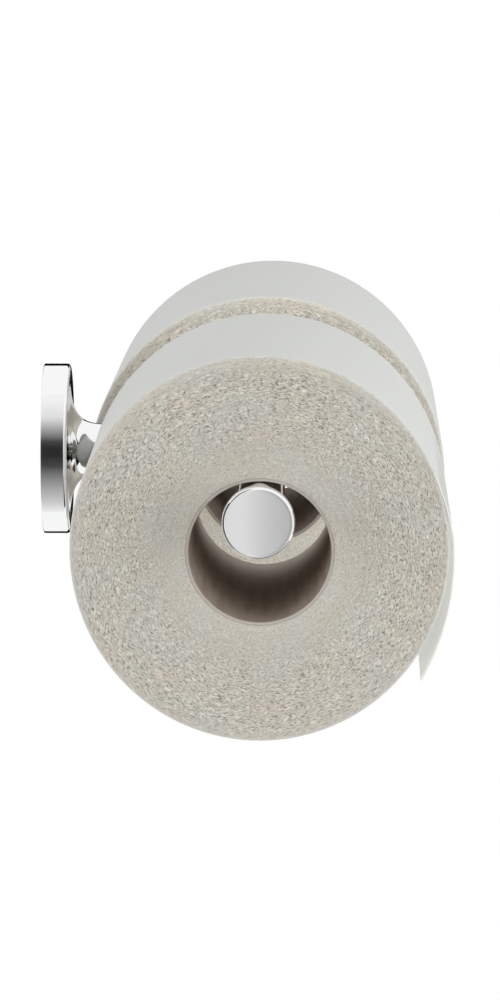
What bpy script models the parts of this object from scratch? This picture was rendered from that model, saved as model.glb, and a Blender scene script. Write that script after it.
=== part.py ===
"""Double toilet roll holder, chrome, with a paper roll on each side of its neck.

Metres, +Z up. The origin is the centre of the wall plate's back face, on the wall.
+Y goes into the wall and the holder stands out along -Y. The crossbar runs along X.
"""

import math

import bmesh
import bpy
import numpy as np
from mathutils import Matrix

MM = 0.001

# Clearances and fineness
CLEAR = 0.3 * MM
OVERRUN = 1.0 * MM
ROUND_SEGMENTS = 64
BAR_SEGMENTS = 40
SMALL_SEGMENTS = 20
ARC_STEPS = 3

# Rosette: a turned cover with a flare that runs into the neck
ROSETTE_R = 27.5 * MM
RIM_THICK = 8.4 * MM
RIM_WALL = 2.4 * MM
RIM_FILLET = 1.0 * MM
RIM_BACK_CHAMFER = 0.3 * MM
FACE_RISE = 0.05 * MM
FLARE_START_R = 26.0 * MM
FLARE_END_R = 8.0 * MM
FLARE_END_H = 22.0 * MM
FLARE_EXPONENT = 3.5
FLARE_STEPS = 12
NECK_END_R = 6.5 * MM

# Wall plate inside the rosette
PLATE_THICK = 6.0 * MM
PLATE_CHAMFER = 0.5 * MM
WALL_SCREW_SPACING = 28.0 * MM
WALL_SCREW_HOLE_R = 2.4 * MM
WALL_SCREW_HEAD_R = 4.8 * MM

# Grub screw at the bottom of the rim
GRUB_R = 2.0 * MM
GRUB_LENGTH = 4.9 * MM
GRUB_INSET = 0.3 * MM
GRUB_H = 3.2 * MM
GRUB_CHAMFER = 0.4 * MM
GRUB_SOCKET_R = 1.15 * MM
GRUB_SOCKET_DEPTH = 1.8 * MM

# Cap screw through the neck, with its washer
BOLT_R = 3.0 * MM
BOLT_HEAD_R = 5.0 * MM
BOLT_HEAD_HIGH = 6.0 * MM
BOLT_GRIP = 9.7 * MM
BOLT_CHAMFER = 0.6 * MM
BOLT_SOCKET_R = 2.9 * MM
BOLT_SOCKET_DEPTH = 3.0 * MM
WASHER_R = 5.5 * MM
WASHER_THICK = 1.2 * MM

# Locating pin between the neck and the crossbar's boss
PIN_R = 0.8 * MM
PIN_LENGTH = 6.0 * MM
PIN_OFFSET = 4.9 * MM

# Crossbar
BAR_R = 7.3 * MM
BAR_END_CHAMFER = 0.4 * MM
BOSS_REACH = 13.2 * MM
BOSS_FOOT_LENGTH = 11.0 * MM
BOSS_FOOT_WIDTH_SHARE = 0.965
BOSS_SINK = 0.05 * MM
BOSS_STEPS = 8

# End caps and their studs
CAP_R = 11.0 * MM
CAP_THICK = 4.0 * MM
CAP_FILLET = 1.0 * MM
CAP_BACK_FILLET = 0.4 * MM
STUD_R = 2.5 * MM
STUD_LENGTH = 16.0 * MM
STUD_IN_CAP = 2.2 * MM
STUD_CHAMFER = 0.4 * MM

# Paper rolls, and where they hang along the bar
CORE_IN_R = 21.9 * MM
CORE_WALL = 0.9 * MM
ROLL_R = 59.0 * MM
ROLL_WIDTH = 100.0 * MM
ROLL_EDGE_FILLET = 0.8 * MM
ROLL_TO_WALL = 12.4 * MM
FRONT_ROLL_TO_NECK = 1.8 * MM
REAR_ROLL_TO_NECK = 26.7 * MM
REAR_ROLL_TO_CAP = 2.4 * MM
# A slack roll's outside is out of round. At its near and its far end: width and height
# as shares of a round roll's, and how far it lies to the room side and up
ROUND_ENDS = ((1.0, 1.0, 0.0, 0.0), (1.0, 1.0, 0.0, 0.0))
FRONT_ENDS = ((0.995, 1.015, 0.4 * MM, 0.7 * MM), (0.978, 1.005, 0.6 * MM, 0.8 * MM))
REAR_ENDS = ((1.0, 1.01, 0.0, 0.0), (0.966, 0.976, 1.0 * MM, 1.4 * MM))
SHEET_THICK = 0.6 * MM

# The near roll's loose tail, as angles at the roll's axis above the room side's level
TAIL_ROOT_ANGLE = math.radians(20.0)
TAIL_TIP_ANGLE = math.radians(-39.5)
TAIL_LIFT = 4.4 * MM
TAIL_STEPS = 16
REAR_STEP_ANGLE = math.radians(-60.0)

WALL_TO_BAR = ROLL_TO_WALL + ROLL_R
FRONT_ROLL_INNER_X = FLARE_END_R + FRONT_ROLL_TO_NECK
REAR_ROLL_INNER_X = FLARE_END_R + REAR_ROLL_TO_NECK
CAP_BACK_X = REAR_ROLL_INNER_X + ROLL_WIDTH + REAR_ROLL_TO_CAP
BAR_HALF = CAP_BACK_X - CLEAR
NECK_END_H = WALL_TO_BAR - BOSS_REACH - CLEAR
ROLL_DROP = CORE_IN_R - BAR_R - CLEAR

ALONG_NECK = Matrix.Rotation(math.radians(90.0), 4, "X")
ALONG_BAR = Matrix.Rotation(math.radians(90.0), 4, "Y")
UPWARDS = Matrix.Identity(4)


def clear_scene():
    for obj in list(bpy.data.objects):
        bpy.data.objects.remove(obj, do_unlink=True)


def material(name, colour, roughness, metallic):
    made = bpy.data.materials.new(name)
    made.use_nodes = True
    shader = made.node_tree.nodes["Principled BSDF"]
    shader.inputs["Base Color"].default_value = (*colour, 1.0)
    shader.inputs["Roughness"].default_value = roughness
    shader.inputs["Metallic"].default_value = metallic
    return made


def chrome(name):
    return material(name, (0.78, 0.79, 0.80), 0.06, 1.0)


def zinc(name):
    return material(name, (0.55, 0.56, 0.58), 0.35, 1.0)


def steel(name):
    return material(name, (0.42, 0.42, 0.43), 0.4, 1.0)


def paper(name):
    return material(name, (0.80, 0.79, 0.76), 0.9, 0.0)


def card(name):
    return material(name, (0.40, 0.34, 0.29), 0.9, 0.0)


def object_of(name, shape, made_of, turn=UPWARDS, place=(0.0, 0.0, 0.0)):
    """An object of this bmesh, its faces out, smooth where it is round."""
    bmesh.ops.recalc_face_normals(shape, faces=shape.faces)
    mesh = bpy.data.meshes.new(name)
    shape.to_mesh(mesh)
    shape.free()
    mesh.materials.append(made_of)
    mesh.shade_smooth()
    mesh.set_sharp_from_angle(angle=math.radians(35.0))
    obj = bpy.data.objects.new(name, mesh)
    bpy.context.scene.collection.objects.link(obj)
    obj.matrix_world = Matrix.Translation(place) @ turn
    return obj


def arc(centre_r, centre_z, radius, start_degrees, end_degrees, steps=ARC_STEPS):
    """Profile points (r, z) round a fillet's centre."""
    angles = np.radians(np.linspace(start_degrees, end_degrees, steps + 1))
    return [(centre_r + radius * math.cos(a), centre_z + radius * math.sin(a)) for a in angles]


def turned(profile, segments):
    """The closed solid that a closed profile of (r, z) points sweeps round local Z."""
    shape = bmesh.new()
    ring = [shape.verts.new((r, 0.0, z)) for r, z in profile]
    off_axis = [i for i in range(len(ring)) if profile[i - 1][0] or profile[i][0]]
    edges = [shape.edges.new((ring[i - 1], ring[i])) for i in off_axis]
    bmesh.ops.spin(
        shape,
        geom=ring + edges,
        axis=(0.0, 0.0, 1.0),
        cent=(0.0, 0.0, 0.0),
        angle=math.tau,
        steps=segments,
        use_merge=True,
    )
    bmesh.ops.remove_doubles(shape, verts=shape.verts, dist=CLEAR / 100)
    return shape


def cylinder_profile(radius, low, high, chamfer=0.0):
    """A solid rod's profile, from its axis out and back, with chamfered ends if asked."""
    if not chamfer:
        return [(0.0, low), (radius, low), (radius, high), (0.0, high)]
    return [
        (0.0, low),
        (radius - chamfer, low),
        (radius, low + chamfer),
        (radius, high - chamfer),
        (radius - chamfer, high),
        (0.0, high),
    ]


def cutter(name, profile, turn, place, segments=SMALL_SEGMENTS):
    """A turned helper that only cuts, kept out of renders."""
    shape = turned(profile, segments)
    bmesh.ops.recalc_face_normals(shape, faces=shape.faces)
    mesh = bpy.data.meshes.new(name)
    shape.to_mesh(mesh)
    shape.free()
    obj = bpy.data.objects.new(name, mesh)
    bpy.context.scene.collection.objects.link(obj)
    obj.matrix_world = Matrix.Translation(place) @ turn
    obj.hide_render = True
    obj.display_type = "WIRE"
    return obj


def boolean(obj, other, operation):
    modifier = obj.modifiers.new(f"{operation.lower()} {other.name}", "BOOLEAN")
    modifier.operation = operation
    modifier.solver = "EXACT"
    modifier.object = other


def flare_radius(height):
    """The rosette's radius at this height above the wall, along its trumpet."""
    start_h = RIM_THICK + FACE_RISE
    share = (FLARE_END_H - height) / (FLARE_END_H - start_h)
    rise = (1.0 - share**FLARE_EXPONENT) ** (1.0 / FLARE_EXPONENT)
    return FLARE_START_R - (FLARE_START_R - FLARE_END_R) * rise


def flare_points():
    """The trumpet as a superellipse, with steps that are even round its bend."""
    start_h = RIM_THICK + FACE_RISE
    points = []
    for step in range(FLARE_STEPS + 1):
        turn = math.radians(90.0) * step / FLARE_STEPS
        share = math.cos(turn) ** (2.0 / FLARE_EXPONENT)
        height = FLARE_END_H - (FLARE_END_H - start_h) * share
        points.append((flare_radius(height), height))
    return points


def bolt_seat_h():
    return PLATE_THICK + CLEAR + BOLT_HEAD_HIGH + WASHER_THICK + 3 * CLEAR


def rosette():
    cup_r = ROSETTE_R - RIM_WALL
    cup_h = PLATE_THICK + CLEAR
    seat_h = bolt_seat_h()
    profile = [(ROSETTE_R - RIM_BACK_CHAMFER, 0.0), (ROSETTE_R, RIM_BACK_CHAMFER)]
    profile += arc(ROSETTE_R - RIM_FILLET, RIM_THICK - RIM_FILLET, RIM_FILLET, 0.0, 90.0)
    profile += flare_points()
    profile += [
        (NECK_END_R, NECK_END_H),
        (BOLT_R + CLEAR, NECK_END_H),
        (BOLT_R + CLEAR, seat_h),
        (WASHER_R + CLEAR, seat_h),
        (WASHER_R + CLEAR, cup_h),
        (cup_r, cup_h),
        (cup_r, 0.0),
    ]
    obj = object_of("rosette", turned(profile, ROUND_SEGMENTS), chrome("rosette"), ALONG_NECK)
    hole = cutter(
        "rosette_grub_hole",
        cylinder_profile(GRUB_R + CLEAR, cup_r - OVERRUN, ROSETTE_R + OVERRUN),
        Matrix.Rotation(math.radians(180.0), 4, "X"),
        (0.0, -GRUB_H, 0.0),
    )
    boolean(obj, hole, "DIFFERENCE")
    pin_hole = cutter(
        "rosette_pin_hole",
        cylinder_profile(PIN_R + CLEAR, pin_low_h() - CLEAR, NECK_END_H + OVERRUN),
        ALONG_NECK,
        (PIN_OFFSET, 0.0, 0.0),
    )
    boolean(obj, pin_hole, "DIFFERENCE")


def wall_plate():
    plate_r = ROSETTE_R - RIM_WALL - CLEAR
    profile = [
        (0.0, 0.0),
        (plate_r, 0.0),
        (plate_r, PLATE_THICK - PLATE_CHAMFER),
        (plate_r - PLATE_CHAMFER, PLATE_THICK),
        (0.0, PLATE_THICK),
    ]
    obj = object_of("wall_plate", turned(profile, ROUND_SEGMENTS), zinc("wall_plate"), ALONG_NECK)
    cone = WALL_SCREW_HEAD_R - WALL_SCREW_HOLE_R
    countersunk = [
        (0.0, -OVERRUN),
        (WALL_SCREW_HOLE_R, -OVERRUN),
        (WALL_SCREW_HOLE_R, PLATE_THICK - cone),
        (WALL_SCREW_HEAD_R, PLATE_THICK),
        (WALL_SCREW_HEAD_R, PLATE_THICK + OVERRUN),
        (0.0, PLATE_THICK + OVERRUN),
    ]
    for word, side in (("upper", 1.0), ("lower", -1.0)):
        place = (0.0, 0.0, side * WALL_SCREW_SPACING / 2)
        hole = cutter(f"plate_{word}_screw_hole", countersunk, ALONG_NECK, place)
        boolean(obj, hole, "DIFFERENCE")
    dimple = cutter(
        "plate_grub_hole",
        cylinder_profile(GRUB_R + CLEAR, grub_low() - CLEAR, plate_r + OVERRUN),
        Matrix.Rotation(math.radians(180.0), 4, "X"),
        (0.0, -GRUB_H, 0.0),
    )
    boolean(obj, dimple, "DIFFERENCE")


def hex_socket(name, radius, depth, top, turn, place):
    """A six-sided cutter whose floor lies this deep below the screw's top."""
    profile = cylinder_profile(radius, top - depth, top + OVERRUN)
    return cutter(name, profile, turn, place, segments=6)


def grub_low():
    """The distance from the rosette's axis to the grub screw's inner end."""
    return ROSETTE_R - GRUB_INSET - GRUB_LENGTH


def grub_screw():
    downwards = Matrix.Rotation(math.radians(180.0), 4, "X")
    place = (0.0, -GRUB_H, 0.0)
    top = ROSETTE_R - GRUB_INSET
    profile = cylinder_profile(GRUB_R, grub_low(), top, GRUB_CHAMFER)
    shape = turned(profile, SMALL_SEGMENTS)
    obj = object_of("grub_screw", shape, steel("grub_screw"), downwards, place)
    socket = hex_socket("grub_socket", GRUB_SOCKET_R, GRUB_SOCKET_DEPTH, top, downwards, place)
    boolean(obj, socket, "DIFFERENCE")


def bolt_head_h():
    """The height above the wall of the flat of the screw's head."""
    return PLATE_THICK + 2 * CLEAR


def arm_bolt():
    head_low = bolt_head_h()
    head_high = head_low + BOLT_HEAD_HIGH
    tip = WALL_TO_BAR - BOSS_REACH + BOLT_GRIP
    profile = [
        (0.0, head_low),
        (BOLT_HEAD_R - BOLT_CHAMFER, head_low),
        (BOLT_HEAD_R, head_low + BOLT_CHAMFER),
        (BOLT_HEAD_R, head_high),
        (BOLT_R, head_high),
        (BOLT_R, tip - BOLT_CHAMFER),
        (BOLT_R - BOLT_CHAMFER, tip),
        (0.0, tip),
    ]
    obj = object_of("arm_bolt", turned(profile, SMALL_SEGMENTS), steel("arm_bolt"), ALONG_NECK)
    floor = head_low + BOLT_SOCKET_DEPTH
    socket = cutter(
        "bolt_socket",
        cylinder_profile(BOLT_SOCKET_R, head_low - OVERRUN, floor),
        ALONG_NECK,
        (0.0, 0.0, 0.0),
        segments=6,
    )
    boolean(obj, socket, "DIFFERENCE")


def bolt_washer():
    low = bolt_head_h() + BOLT_HEAD_HIGH + CLEAR
    high = low + WASHER_THICK
    hole_r = BOLT_R + CLEAR
    profile = [(hole_r, low), (WASHER_R, low), (WASHER_R, high), (hole_r, high)]
    object_of("bolt_washer", turned(profile, BAR_SEGMENTS), zinc("bolt_washer"), ALONG_NECK)


def pin_low_h():
    return WALL_TO_BAR - BOSS_REACH - PIN_LENGTH / 2


def locating_pin():
    profile = cylinder_profile(PIN_R, pin_low_h(), pin_low_h() + PIN_LENGTH)
    shape = turned(profile, SMALL_SEGMENTS)
    place = (PIN_OFFSET, 0.0, 0.0)
    object_of("locating_pin", shape, steel("locating_pin"), ALONG_NECK, place)


def bar_reach(z):
    """How far the bar's wall side stands from the bar's axis at this height z."""
    return math.sqrt(max(BAR_R**2 - z**2, 0.0))


def boss_section(angle):
    """The boss's fillet, as (x, z, reach) points, in the half-plane at this angle round the neck.

    It starts straight down at the boss's rim and ends tangent to the bar, as the quadratic
    curve (1-t)^2 A + 2t(1-t) C + t^2 B, whose corner C lies under A on B's tangent.
    """
    along = math.cos(angle)
    across = math.sin(angle)
    foot_width = BAR_R * BOSS_FOOT_WIDTH_SHARE
    foot = 1.0 / math.hypot(along / BOSS_FOOT_LENGTH, across / foot_width)
    foot_reach = bar_reach(foot * across)
    slope = -foot * across**2 / foot_reach
    corner_reach = foot_reach - slope * (foot - NECK_END_R)
    corner_reach = min(corner_reach, BOSS_REACH)
    points = []
    for step in range(BOSS_STEPS + 1):
        t = step / BOSS_STEPS
        start, middle, end = (1 - t) ** 2, 2 * t * (1 - t), t**2
        radius = (start + middle) * NECK_END_R + end * foot
        reach = start * BOSS_REACH + middle * corner_reach + end * foot_reach
        sink = BOSS_SINK * step / BOSS_STEPS
        points.append((radius * along, radius * across, reach - sink))
    return points


def saddle_boss():
    """The blended boss as a closed solid whose foot lies just under the bar's surface."""
    shape = bmesh.new()
    rows = []
    for segment in range(BAR_SEGMENTS):
        points = boss_section(math.tau * segment / BAR_SEGMENTS)
        rows.append([shape.verts.new((x, reach, z)) for x, z, reach in points])
        core_r = NECK_END_R / 2
        angle = math.tau * segment / BAR_SEGMENTS
        rows[-1].append(shape.verts.new((core_r * math.cos(angle), 0.0, core_r * math.sin(angle))))
    for here, there in zip(rows, rows[1:] + rows[:1]):
        for step in range(len(here) - 1):
            shape.faces.new((here[step], there[step], there[step + 1], here[step + 1]))
    shape.faces.new([row[0] for row in rows])
    shape.faces.new([row[-1] for row in rows])
    bmesh.ops.recalc_face_normals(shape, faces=shape.faces)
    mesh = bpy.data.meshes.new("saddle_boss")
    shape.to_mesh(mesh)
    shape.free()
    obj = bpy.data.objects.new("saddle_boss", mesh)
    bpy.context.scene.collection.objects.link(obj)
    obj.location = (0.0, -WALL_TO_BAR, 0.0)
    obj.hide_render = True
    obj.display_type = "WIRE"
    return obj


def stud_low():
    """The distance from the neck's axis to a stud's inner end."""
    return CAP_BACK_X + STUD_IN_CAP - STUD_LENGTH


def crossbar():
    hole_r = STUD_R + CLEAR
    hole_end = stud_low() - CLEAR
    profile = [
        (0.0, -hole_end),
        (hole_r, -hole_end),
        (hole_r, -BAR_HALF),
        (BAR_R - BAR_END_CHAMFER, -BAR_HALF),
        (BAR_R, -BAR_HALF + BAR_END_CHAMFER),
        (BAR_R, BAR_HALF - BAR_END_CHAMFER),
        (BAR_R - BAR_END_CHAMFER, BAR_HALF),
        (hole_r, BAR_HALF),
        (hole_r, hole_end),
        (0.0, hole_end),
    ]
    place = (0.0, -WALL_TO_BAR, 0.0)
    shape = turned(profile, BAR_SEGMENTS)
    obj = object_of("crossbar", shape, chrome("crossbar"), ALONG_BAR, place)
    boolean(obj, saddle_boss(), "UNION")
    top_h = WALL_TO_BAR - BOSS_REACH
    tip_h = top_h + BOLT_GRIP
    hole = cutter(
        "boss_bolt_hole",
        cylinder_profile(BOLT_R + CLEAR, top_h - OVERRUN, tip_h + CLEAR),
        ALONG_NECK,
        (0.0, 0.0, 0.0),
    )
    boolean(obj, hole, "DIFFERENCE")
    pin_hole = cutter(
        "boss_pin_hole",
        cylinder_profile(PIN_R + CLEAR, top_h - OVERRUN, pin_low_h() + PIN_LENGTH + CLEAR),
        ALONG_NECK,
        (PIN_OFFSET, 0.0, 0.0),
    )
    boolean(obj, pin_hole, "DIFFERENCE")


def cap_profile():
    """A disc with a blind hole at its back, standing from z = 0 to its face."""
    hole_r = STUD_R + CLEAR
    profile = [(0.0, STUD_IN_CAP + CLEAR), (hole_r, STUD_IN_CAP + CLEAR), (hole_r, 0.0)]
    profile += arc(CAP_R - CAP_BACK_FILLET, CAP_BACK_FILLET, CAP_BACK_FILLET, -90.0, 0.0)
    profile += arc(CAP_R - CAP_FILLET, CAP_THICK - CAP_FILLET, CAP_FILLET, 0.0, 90.0)
    profile += [(0.0, CAP_THICK)]
    return profile


def end_pieces(word, side):
    """The cap and its stud at one end of the bar."""
    turn = Matrix.Rotation(math.radians(90.0 * side), 4, "Y")
    cap_place = (side * CAP_BACK_X, -WALL_TO_BAR, 0.0)
    cap = turned(cap_profile(), ROUND_SEGMENTS)
    object_of(f"end_cap_{word}", cap, chrome(f"end_cap_{word}"), turn, cap_place)
    rod = cylinder_profile(STUD_R, stud_low(), stud_low() + STUD_LENGTH, STUD_CHAMFER)
    stud = turned(rod, SMALL_SEGMENTS)
    stud_place = (0.0, -WALL_TO_BAR, 0.0)
    object_of(f"cap_stud_{word}", stud, steel(f"cap_stud_{word}"), turn, stud_place)


def core(name, place):
    """A cardboard tube, along local Z and centred on its origin."""
    half = ROLL_WIDTH / 2
    out_r = CORE_IN_R + CORE_WALL
    profile = [(CORE_IN_R, -half), (out_r, -half), (out_r, half), (CORE_IN_R, half)]
    object_of(name, turned(profile, ROUND_SEGMENTS), card(name), ALONG_BAR, place)


def roll_rows():
    """(place along the roll, inset of the rounded edge) for each ring of the winding."""
    half = ROLL_WIDTH / 2
    rows = []
    for step in range(ARC_STEPS):
        turn = math.radians(90.0) * step / (ARC_STEPS - 1)
        rows.append((
            -half + ROLL_EDGE_FILLET * (1.0 - math.cos(turn)),
            ROLL_EDGE_FILLET * (1.0 - math.sin(turn)),
        ))
    return rows + [(-along, inset) for along, inset in reversed(rows)]


def winding(name, place, step_angle, ends):
    """The wound paper, whose last sheet ends in a step one sheet thick at step_angle.

    Round local X, an angle counts up from the room side. From the step the radius grows
    by one sheet in a full turn, downwards round the roll and back over its top.
    """
    shape = bmesh.new()
    in_r = CORE_IN_R + CORE_WALL + CLEAR
    rings = []
    for along, inset in roll_rows():
        outer = []
        inner = []
        for segment in range(ROUND_SEGMENTS + 1):
            share = segment / ROUND_SEGMENTS
            angle = step_angle - math.tau * share
            radius = ROLL_R - SHEET_THICK * (1.0 - share) - inset
            outer.append(shape.verts.new(roll_point(along, radius, angle, ends)))
            if segment < ROUND_SEGMENTS:
                inner.append(shape.verts.new(roll_point(along, in_r, angle)))
        inner.append(inner[0])
        rings.append((outer, inner))
    for (outer, inner), (next_outer, next_inner) in zip(rings, rings[1:]):
        for i in range(ROUND_SEGMENTS):
            shape.faces.new((outer[i], outer[i + 1], next_outer[i + 1], next_outer[i]))
            shape.faces.new((inner[i], inner[i + 1], next_inner[i + 1], next_inner[i]))
        shape.faces.new((outer[-1], outer[0], next_outer[0], next_outer[-1]))
    for outer, inner in (rings[0], rings[-1]):
        for i in range(ROUND_SEGMENTS - 1):
            shape.faces.new((outer[i], outer[i + 1], inner[i + 1], inner[i]))
        last = ROUND_SEGMENTS - 1
        shape.faces.new((outer[last], outer[last + 1], outer[0], inner[0], inner[last]))
    object_of(name, shape, paper(name), UPWARDS, place)


def roll_point(along, radius, angle, ends=ROUND_ENDS):
    """A point of a roll, whose shape blends from its near end's to its far end's."""
    share = along / ROLL_WIDTH + 0.5
    wide, high, room_side, up = (near + (far - near) * share for near, far in zip(*ends))
    across = radius * wide * math.cos(angle) + room_side
    return (along, -across, radius * high * math.sin(angle) + up)


def tail_lift(share):
    """How far the loose tail stands off the roll, from its root (0) to its tip (1)."""
    return TAIL_LIFT * share**2


def tail_angle(share):
    root = TAIL_ROOT_ANGLE - CLEAR / ROLL_R
    return root + (TAIL_TIP_ANGLE - root) * share


def front_tail(place):
    """The sheet's loose end: it carries on from the winding's step and hangs on the room side."""
    shape = bmesh.new()
    half = ROLL_WIDTH / 2
    rows = []
    for step in range(TAIL_STEPS + 1):
        share = step / TAIL_STEPS
        angle = tail_angle(share)
        outer = ROLL_R + CLEAR + tail_lift(share)
        rows.append([
            shape.verts.new(roll_point(along, radius, angle, FRONT_ENDS))
            for along, radius in (
                (-half, outer - SHEET_THICK),
                (half, outer - SHEET_THICK),
                (half, outer),
                (-half, outer),
            )
        ])
    for here, there in zip(rows, rows[1:]):
        for i in range(4):
            shape.faces.new((here[i - 1], here[i], there[i], there[i - 1]))
    shape.faces.new(rows[0])
    shape.faces.new(rows[-1])
    object_of("front_tail", shape, paper("front_tail"), UPWARDS, place)


def rolls():
    middle = ROLL_WIDTH / 2
    front = (-FRONT_ROLL_INNER_X - middle, -WALL_TO_BAR, -ROLL_DROP)
    rear = (REAR_ROLL_INNER_X + middle, -WALL_TO_BAR, -ROLL_DROP)
    core("front_core", front)
    winding("front_winding", front, TAIL_ROOT_ANGLE, FRONT_ENDS)
    front_tail(front)
    core("rear_core", rear)
    winding("rear_winding", rear, REAR_STEP_ANGLE, REAR_ENDS)


def main():
    clear_scene()
    rosette()
    wall_plate()
    grub_screw()
    arm_bolt()
    bolt_washer()
    locating_pin()
    crossbar()
    end_pieces("front", -1.0)
    end_pieces("rear", 1.0)
    rolls()


main()
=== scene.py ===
"""Looks of the double toilet roll holder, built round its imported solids.

Metres, +Z up. The wall is the plane y = 0 and the holder stands out along -Y.
The crossbar runs along X. Lengths below are in millimetres times MM, and the
studio's are in metres.
"""

import math

import bmesh
import bpy
import numpy as np
from mathutils import Matrix, Vector

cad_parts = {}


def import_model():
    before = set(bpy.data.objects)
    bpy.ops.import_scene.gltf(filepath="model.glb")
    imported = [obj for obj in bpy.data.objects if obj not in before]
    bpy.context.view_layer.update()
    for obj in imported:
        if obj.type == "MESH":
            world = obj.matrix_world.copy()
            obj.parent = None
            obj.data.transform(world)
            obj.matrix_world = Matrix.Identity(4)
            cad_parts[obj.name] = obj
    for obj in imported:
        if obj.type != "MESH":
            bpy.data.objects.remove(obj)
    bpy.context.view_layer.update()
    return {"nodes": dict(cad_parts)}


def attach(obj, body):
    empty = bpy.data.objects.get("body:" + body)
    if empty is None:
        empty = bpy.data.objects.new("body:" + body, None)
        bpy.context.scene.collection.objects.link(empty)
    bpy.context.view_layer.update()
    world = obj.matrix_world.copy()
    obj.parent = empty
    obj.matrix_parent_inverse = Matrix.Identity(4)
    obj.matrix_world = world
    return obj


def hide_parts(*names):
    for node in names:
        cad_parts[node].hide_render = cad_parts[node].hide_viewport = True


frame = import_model()

MM = 0.001
WELD = 0.001 * MM
HOLD = 0.1 * MM

# Rosette and neck
ROSETTE_R = 27.5 * MM
RIM_THICK = 8.4 * MM
RIM_WALL = 2.4 * MM
RIM_FILLET = 1.0 * MM
RIM_BACK_ROUND = 0.3 * MM
FACE_RISE = 0.05 * MM
FLARE_START_R = 26.0 * MM
FLARE_END_R = 8.0 * MM
FLARE_END_H = 22.0 * MM
FLARE_EXPONENT = 3.5
NECK_END_R = 6.5 * MM
NECK_END_ROUND = 0.12 * MM
CUP_H = 6.3 * MM
BOLT_SEAT_H = 14.4 * MM
BOLT_HOLE_R = 3.3 * MM
WASHER_HOLE_R = 5.8 * MM
GRUB_HOLE_R = 2.3 * MM
GRUB_H = 3.2 * MM
PIN_HOLE_R = 1.1 * MM
PIN_OFFSET = 4.9 * MM
PIN_HALF = 3.3 * MM

# Crossbar, its boss and its caps
WALL_TO_BAR = 71.4 * MM
BAR_R = 7.3 * MM
BAR_HALF = 136.8 * MM
BAR_END_ROUND = 0.4 * MM
STUD_HOLE_R = 2.8 * MM
STUD_HOLE_END = 123.0 * MM
BOSS_REACH = 13.2 * MM
BOSS_FOOT_LENGTH = 11.0 * MM
BOSS_FOOT_WIDTH_SHARE = 0.965
BOSS_HOLE_DEPTH = 10.0 * MM
BOSS_PATCH_HALF = 20.0 * MM
CAP_BACK_X = 137.1 * MM
CAP_R = 11.0 * MM
CAP_THICK = 4.0 * MM
CAP_FILLET = 0.8 * MM
CAP_BACK_FILLET = 0.4 * MM
CAP_HOLE_DEPTH = 2.5 * MM

# Paper rolls
CORE_IN_R = 21.9 * MM
CORE_WALL = 0.9 * MM
CORE_EDGE_ROUND = 0.12 * MM
CORE_SEAM_STEP = 0.12 * MM
CORE_SEAM_PITCH = 66.0 * MM
BORE_R = 22.85 * MM
FACE_INSET = 0.1 * MM
ROLL_R = 59.0 * MM
ROLL_WIDTH = 100.0 * MM
ROLL_EDGE_FILLET = 0.8 * MM
SHEET_STEP = 0.35 * MM
ROLL_AXIS_Z = -14.3 * MM
FRONT_ROLL_X = -59.8 * MM
REAR_ROLL_X = 84.7 * MM
# A slack roll's outside at its near and its far end: width and height as shares of a
# round roll's, and how far it lies to the room side and up
ROUND_ENDS = ((1.0, 1.0, 0.0, 0.0), (1.0, 1.0, 0.0, 0.0))
FRONT_ENDS = ((0.987, 1.015, -0.1 * MM, 0.7 * MM), (0.978, 1.005, 0.6 * MM, 0.8 * MM))
TAIL_ENDS = ((0.995, 1.015, 0.4 * MM, 0.7 * MM), (0.978, 1.005, 0.6 * MM, 0.8 * MM))
REAR_ENDS = ((1.0, 1.01, 0.0, 0.0), (0.966, 0.976, 1.0 * MM, 1.4 * MM))
TAIL_ROOT = math.radians(20.0)
TAIL_TIP = math.radians(-39.5)
TAIL_LIFT = 4.9 * MM
TAIL_CURL = 2.4
TAIL_THICK = 0.3 * MM
TAIL_FREE_SHARE = 0.3
TAIL_SWAY = 0.12 * MM
TAIL_TUCK = 1.2 * MM
TOOTH_DEPTH = 0.9 * MM
TOOTH_PITCH = 4.2 * MM
RAGGED_DEPTH = 0.5 * MM
FIBRE_DEPTH = 0.25 * MM
TORN_DEPTH = 2.4 * MM
REAR_STEP = math.radians(-60.0)


# Meshes


def grid_faces(rows, columns, wrap_rows, wrap_columns, first):
    """The quads (i, j), (i, j+1), (i+1, j+1), (i+1, j) of a grid of points, as an index array."""
    index = first + np.arange(rows * columns).reshape(rows, columns)
    if wrap_columns:
        index = np.hstack([index, index[:, :1]])
    if wrap_rows:
        index = np.vstack([index, index[:1]])
    corners = [index[:-1, :-1], index[:-1, 1:], index[1:, 1:], index[1:, :-1]]
    return np.stack(corners, axis=-1).reshape(-1, 4)


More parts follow.
